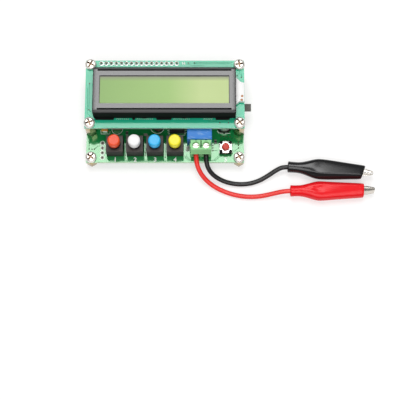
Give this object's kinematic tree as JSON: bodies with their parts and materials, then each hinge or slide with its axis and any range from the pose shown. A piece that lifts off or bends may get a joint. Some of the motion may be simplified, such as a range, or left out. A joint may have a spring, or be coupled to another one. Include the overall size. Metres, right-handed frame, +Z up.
{
  "type": "component tester",
  "caption": "Open-board bench meter with a character display, coloured keys, a test button, a screw terminal and test leads that end in booted alligator clips.",
  "frame": {"origin": "on the surface that the feet stand on, in the middle of the four feet", "axes": "+X along the boards to the power switch side, +Y to the display's far edge, +Z up"},
  "size_m": [0.1462, 0.0695, 0.027],
  "materials": {
    "board_green": "green solder mask over glass fibre",
    "display_green": "paler green solder mask over glass fibre",
    "bright_steel": "satin, bright plated",
    "plated_brass": "satin, plated",
    "black_metal": "satin black",
    "display_glass": "yellow-green, lit from behind",
    "white_plastic": "matt white",
    "contact_rubber": "matt",
    "black_plastic": "matt black",
    "grey_plastic": "matt grey",
    "red_plastic": "glossy red",
    "white_cap": "glossy white",
    "blue_cap": "glossy sky blue",
    "yellow_cap": "glossy yellow",
    "terminal_green": "matt light green",
    "relay_blue": "satin blue",
    "can_aluminium": "bright",
    "orange_plastic": "satin orange",
    "ferrite": "matt dark grey",
    "film_brown": "glossy brown",
    "red_rubber": "satin red",
    "black_rubber": "satin black"
  },
  "bodies": {
    "tester": {"main_board": "board_green", "solder_joints": "bright_steel", "feet": "plated_brass", "display_standoffs": "plated_brass", "stud_nuts": "bright_steel", "pan_screws": "bright_steel", "display_board": "display_green", "display_bezel": "black_metal", "display_glass": "display_glass", "backlight": "white_plastic", "contact_strips": "contact_rubber", "controller_blobs": "black_plastic", "pin_header": "black_plastic", "header_socket": "black_plastic", "key_housings": "grey_plastic", "test_switch_base": "black_plastic", "test_switch_cover": "bright_steel", "terminal_housing": "terminal_green", "terminal_contacts": "plated_brass", "relay": "relay_blue", "power_switch_body": "black_plastic", "power_switch_frame": "bright_steel", "usb_shell": "bright_steel", "usb_insert": "black_plastic", "microcontroller": "black_plastic", "electrolytic_capacitor": "can_aluminium", "tantalum_capacitor": "orange_plastic", "crystal": "bright_steel", "reference_inductor": "ferrite", "chip_passives": "film_brown", "key_1_spring": "bright_steel", "key_2_spring": "bright_steel", "key_3_spring": "bright_steel", "key_4_spring": "bright_steel", "red_lead": "red_rubber", "red_boot": "red_rubber", "red_fixed_jaw": "bright_steel", "red_pivot_pin": "bright_steel", "red_clip_spring": "bright_steel", "black_lead": "black_rubber", "black_boot": "black_rubber", "black_fixed_jaw": "bright_steel", "black_pivot_pin": "bright_steel", "black_clip_spring": "bright_steel"},
    "key_1": {"key_1_plunger": "black_plastic", "key_1_cap": "red_plastic"},
    "key_2": {"key_2_plunger": "black_plastic", "key_2_cap": "white_cap"},
    "key_3": {"key_3_plunger": "black_plastic", "key_3_cap": "blue_cap"},
    "key_4": {"key_4_plunger": "black_plastic", "key_4_cap": "yellow_cap"},
    "test_button": {"test_switch_plunger": "red_plastic"},
    "power_slider": {"power_switch_slider": "black_plastic"},
    "clamp_screw_1": {"terminal_screw_1": "bright_steel"},
    "lift_clamp_1": {"terminal_clamp_1": "bright_steel"},
    "clamp_screw_2": {"terminal_screw_2": "bright_steel"},
    "lift_clamp_2": {"terminal_clamp_2": "bright_steel"},
    "red_jaw": {"red_moving_jaw": "bright_steel"},
    "black_jaw": {"black_moving_jaw": "bright_steel"}
  },
  "joints": [
    {"name": "key_1_press", "type": "slide", "parent": "tester", "child": "key_1", "axis": [0, 0, -1], "range_m": [0, 0.0016], "stiffness_N_per_m": 500, "springref_m": -0.001, "deforming": ["key_1_spring"]},
    {"name": "key_2_press", "type": "slide", "parent": "tester", "child": "key_2", "axis": [0, 0, -1], "range_m": [0, 0.0016], "stiffness_N_per_m": 500, "springref_m": -0.001, "deforming": ["key_2_spring"]},
    {"name": "key_3_press", "type": "slide", "parent": "tester", "child": "key_3", "axis": [0, 0, -1], "range_m": [0, 0.0016], "stiffness_N_per_m": 500, "springref_m": -0.001, "deforming": ["key_3_spring"]},
    {"name": "key_4_press", "type": "slide", "parent": "tester", "child": "key_4", "axis": [0, 0, -1], "range_m": [0, 0.0016], "stiffness_N_per_m": 500, "springref_m": -0.001, "deforming": ["key_4_spring"]},
    {"name": "test_button_press", "type": "slide", "parent": "tester", "child": "test_button", "axis": [0, 0, -1], "range_m": [0, 0.00025], "stiffness_N_per_m": 1500, "springref_m": -0.0003},
    {"name": "power_slide", "type": "slide", "parent": "tester", "child": "power_slider", "axis": [0, 1, 0], "range_m": [0, 0.002]},
    {"name": "clamp_screw_1_turn", "type": "hinge", "parent": "tester", "child": "clamp_screw_1", "pos_m": [0.01566, -0.019, 0.0145], "axis": [0, 0, 1], "range_deg": [0, 577]},
    {"name": "lift_clamp_1_drop", "type": "slide", "parent": "tester", "child": "lift_clamp_1", "axis": [0, 0, -1], "range_m": [0, 0.0008]},
    {"name": "clamp_screw_2_turn", "type": "hinge", "parent": "tester", "child": "clamp_screw_2", "pos_m": [0.02074, -0.019, 0.0145], "axis": [0, 0, 1], "range_deg": [0, 577]},
    {"name": "lift_clamp_2_drop", "type": "slide", "parent": "tester", "child": "lift_clamp_2", "axis": [0, 0, -1], "range_m": [0, 0.0008]},
    {"name": "red_clip_open", "type": "hinge", "parent": "tester", "child": "red_jaw", "pos_m": [0.0869, -0.03904, 0.00394], "axis": [-0.0025, 0.2419, 0.9703], "range_deg": [0, 20], "stiffness_Nm_per_rad": 0.08, "springref_deg": -17.19, "deforming": ["red_boot"]},
    {"name": "black_clip_open", "type": "hinge", "parent": "tester", "child": "black_jaw", "pos_m": [0.08642, -0.02851, 0.00394], "axis": [-0.019, -0.2412, 0.9703], "range_deg": [0, 20], "stiffness_Nm_per_rad": 0.08, "springref_deg": -17.19, "deforming": ["black_boot"]}
  ],
  "couplings": [
    {"joint": "clamp_screw_1_turn", "follows": "lift_clamp_1_drop", "rad_per_m": 12566},
    {"joint": "clamp_screw_2_turn", "follows": "lift_clamp_2_drop", "rad_per_m": 12566}
  ]
}
